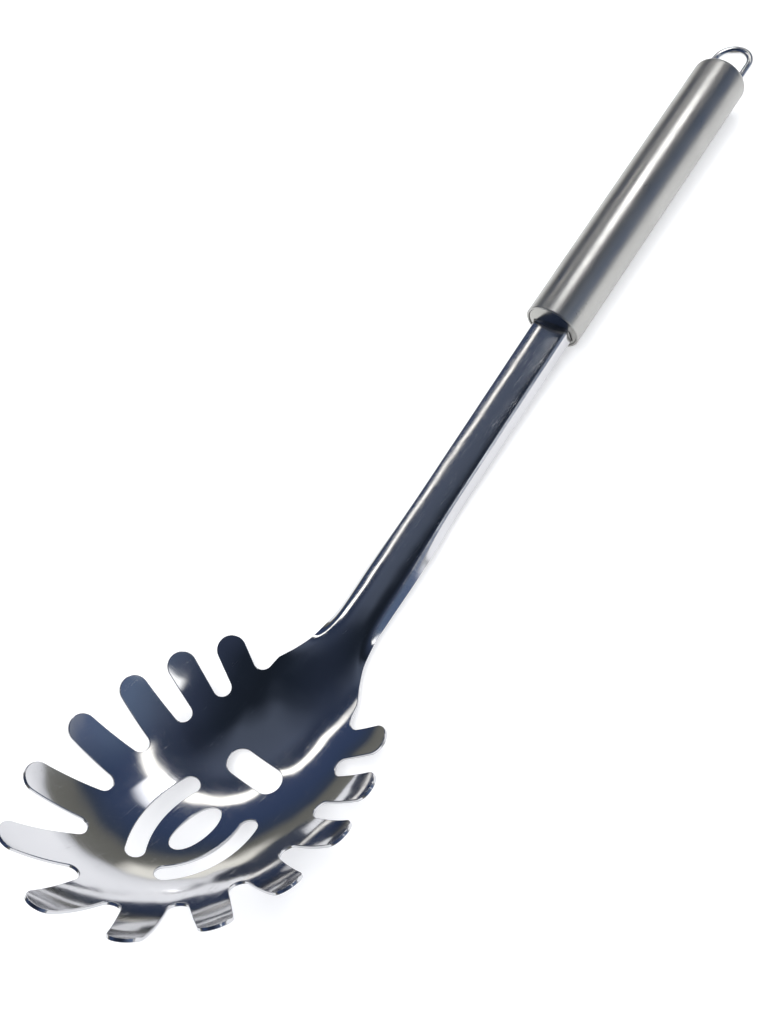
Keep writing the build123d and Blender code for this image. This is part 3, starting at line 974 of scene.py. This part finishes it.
def make_floor():
    """Plain white table. Part of its colour is lamp light, so that it keeps the tool's shadow."""
    mesh = bpy.data.meshes.new("floor")
    half = FLOOR_SIZE / 2
    mesh.from_pydata(
        [(-half, -half, 0), (half, -half, 0), (half, half, 0), (-half, half, 0)],
        [], [(0, 1, 2, 3)])
    floor = bpy.data.objects.new("floor", mesh)
    bpy.context.scene.collection.objects.link(floor)
    floor.location.z = -FLOOR_GAP
    material = bpy.data.materials.new("white_table")
    material.use_nodes = True
    n = Nodes(material.node_tree)
    path = n.add("ShaderNodeLightPath")
    seen = n.math("MAXIMUM", path.outputs["Is Camera Ray"], path.outputs["Is Glossy Ray"])
    seen = n.math("MAXIMUM", seen, path.outputs["Is Transmission Ray"])
    diffuse = n.add("ShaderNodeBsdfDiffuse", {0: FLOOR_COLOUR})
    glow = n.add("ShaderNodeEmission", {
        0: (1, 1, 1, 1), 1: n.math("MULTIPLY", seen, FLOOR_GLOW)})
    both = n.add("ShaderNodeAddShader", {0: diffuse.outputs[0], 1: glow.outputs[0]})
    n.add("ShaderNodeOutputMaterial", {0: both.outputs[0]})
    mesh.materials.append(material)


def make_world():
    """A dark studio with a blue sky light, a pale low wall, a ring of strip light and panels."""
    world = bpy.data.worlds.new("studio")
    bpy.context.scene.world = world
    world.use_nodes = True
    n = Nodes(world.node_tree)
    way = n.add("ShaderNodeTexCoord").outputs["Generated"]
    x, y, z = n.add("ShaderNodeSeparateXYZ", {0: way}).outputs[:3]
    height = n.math("MULTIPLY", n.math("ARCSINE", z), 180 / math.pi)
    bearing = n.math("MULTIPLY", n.math("ARCTAN2", y, x), 180 / math.pi)

    share = n.math("DIVIDE", n.math("ADD", height, 90.0), 180.0)
    dome = n.ramp(share, DOME_STOPS)
    side = n.ramp(share, SIDE_STOPS)
    near_side = n.smooth(n.away(bearing, SIDE_BEARING), *SIDE_REACH, 1, 0)
    sky = n.mix(near_side, dome, side)
    low = n.math("MULTIPLY",
                 n.smooth(n.away(bearing, LOW_WALL_BEARING), *LOW_WALL_REACH, 1, 0),
                 n.smooth(n.away(height, LOW_WALL_HEIGHT), *LOW_WALL_HALF, 1, 0))
    sky = n.mix(low, sky, (*LOW_WALL_COLOUR, 1))

    rise = n.smooth(n.away(bearing, RING_CREST), 0, RING_CREST_REACH, RING_RISE, 0)
    off_ring = n.away(height, n.math("ADD", rise, RING_HEIGHT))
    ring = n.smooth(off_ring, RING_HALF - RING_SOFT, RING_HALF + RING_SOFT, 1, 0)
    ring = n.math("MULTIPLY", ring,
                  n.smooth(n.away(bearing, RING_BEARING), *RING_REACH, 1, 0))
    sky = n.lit(sky, ring, RING_COLOUR)

    for middle, reach, foot, top, colour in PANELS:
        panel = n.math("MULTIPLY", n.smooth(n.away(bearing, middle), *reach, 1, 0), n.math(
            "MULTIPLY", n.smooth(height, *foot), n.smooth(height, *top, 1, 0)))
        sky = n.lit(sky, panel, colour)
    shine = n.add("ShaderNodeBackground", {0: sky, 1: 1.0})
    n.add("ShaderNodeOutputWorld", {0: shine.outputs[0]})


def make_lamp(name, place, target, size, power, spread, in_metal):
    """A soft square lamp. Most of what shows in the metal is the room's own panels."""
    data = bpy.data.lights.new(name, "AREA")
    data.size = size
    data.energy = power
    lamp = bpy.data.objects.new(name, data)
    bpy.context.scene.collection.objects.link(lamp)
    lamp.location = place
    lamp.rotation_mode = "QUATERNION"
    way = Vector(target) - Vector(place)
    lamp.rotation_quaternion = way.to_track_quat("-Z", "Y")
    data.spread = math.radians(spread)
    lamp.visible_glossy = in_metal


def make_camera():
    data = bpy.data.cameras.new("camera")
    data.lens = LENS
    data.sensor_width = SENSOR_WIDTH
    data.clip_start, data.clip_end = CLIP
    camera = bpy.data.objects.new("camera", data)
    bpy.context.scene.collection.objects.link(camera)
    camera.location = CAMERA_PLACE
    camera.rotation_euler = [math.radians(a) for a in CAMERA_TURN]
    bpy.context.scene.camera = camera


# ---------------------------------------------------------------- the scene

SHIFT = resting_shift()

make_world()
make_floor()
for lamp in LAMPS:
    make_lamp(*lamp)
make_camera()

polish_blend = (*(station(share) for share in POLISH_BLEND_SHARES), SHANK_ROUGHER, 1.0)
polished = steel("polished_steel_look", *POLISHED_LOOK, scratches=True,
                 waves=POLISHED_WAVES, stretch=POLISHED_STRETCH, along=polish_blend)
# The cap's look is the polished steel darkened and warmed: painted shade.
cap = steel("cap_steel_painted_shade_look", *CAP_PAINTED_SHADE_LOOK)
# The wire's look is the polished steel lightened: painted light.
wire = steel("wire_steel_painted_light_look", *WIRE_PAINTED_LIGHT_LOOK)
brushed = steel("brushed_steel_look", *BRUSHED_LOOK, stretch=BRUSHED_STRETCH)

points, faces, normals, uv = head_mesh()
piece("head_sheet", points, faces, normals, uv, polished, "polished_steel", "server_head")

points, faces, normals, uv = turned_profile(*tube_profile())
piece("tube_shell", points, faces, normals, uv, brushed, "brushed_steel", "handle_tube")

points, faces, normals, uv = turned_profile(*rear_cap_profile())
piece("rear_cap_shell", points, faces, normals, uv, brushed, "brushed_steel", "rear_end_cap")

points, faces, normals = front_cap_mesh()
piece("front_cap_plug", points, faces, normals, points[:, 1:], cap, "polished_steel",
      "front_end_cap")

points, faces, normals = loop_mesh()
piece("wire_loop", points, faces, normals, points[:, :2], wire, "polished_steel",
      "hanging_loop")

bpy.context.scene.view_settings.view_transform = "Standard"
